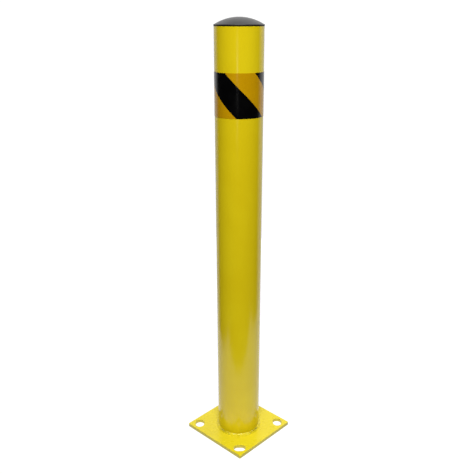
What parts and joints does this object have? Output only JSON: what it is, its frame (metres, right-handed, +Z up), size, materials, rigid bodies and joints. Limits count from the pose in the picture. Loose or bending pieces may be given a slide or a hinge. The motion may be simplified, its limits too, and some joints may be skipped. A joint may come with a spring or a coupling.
{
  "type": "steel safety bollard",
  "caption": "Surface-mounted round steel guard post on a square slotted base plate, with a domed lift-off cap and a hazard-striped reflective band.",
  "frame": {"origin": "centre of the base plate's underside, on the axis of the post", "axes": "+Z up along the post; X and Y parallel to the sides of the base plate"},
  "size_m": [0.2032, 0.2032, 1.0951],
  "materials": {
    "yellow_powder_coat": "glossy powder coat with a faint orange peel",
    "black_cap_plastic": "satin moulded polyethylene",
    "amber_reflective_sheet": "glossy reflective sheeting",
    "black_stripe_film": "glossy black film"
  },
  "bodies": {
    "post": {"base_plate": "yellow_powder_coat", "post_tube": "yellow_powder_coat", "weld_run_1": "yellow_powder_coat", "weld_run_2": "yellow_powder_coat", "weld_run_3": "yellow_powder_coat", "weld_run_4": "yellow_powder_coat", "reflective_band": "amber_reflective_sheet", "black_stripe_1": "black_stripe_film", "black_stripe_2": "black_stripe_film", "black_stripe_3": "black_stripe_film"},
    "cap": {"dome_cap": "black_cap_plastic"}
  },
  "joints": [
    {"name": "cap_lift", "type": "slide", "parent": "post", "child": "cap", "axis": [0, 0, 1], "range_m": [0, 0.06]}
  ]
}
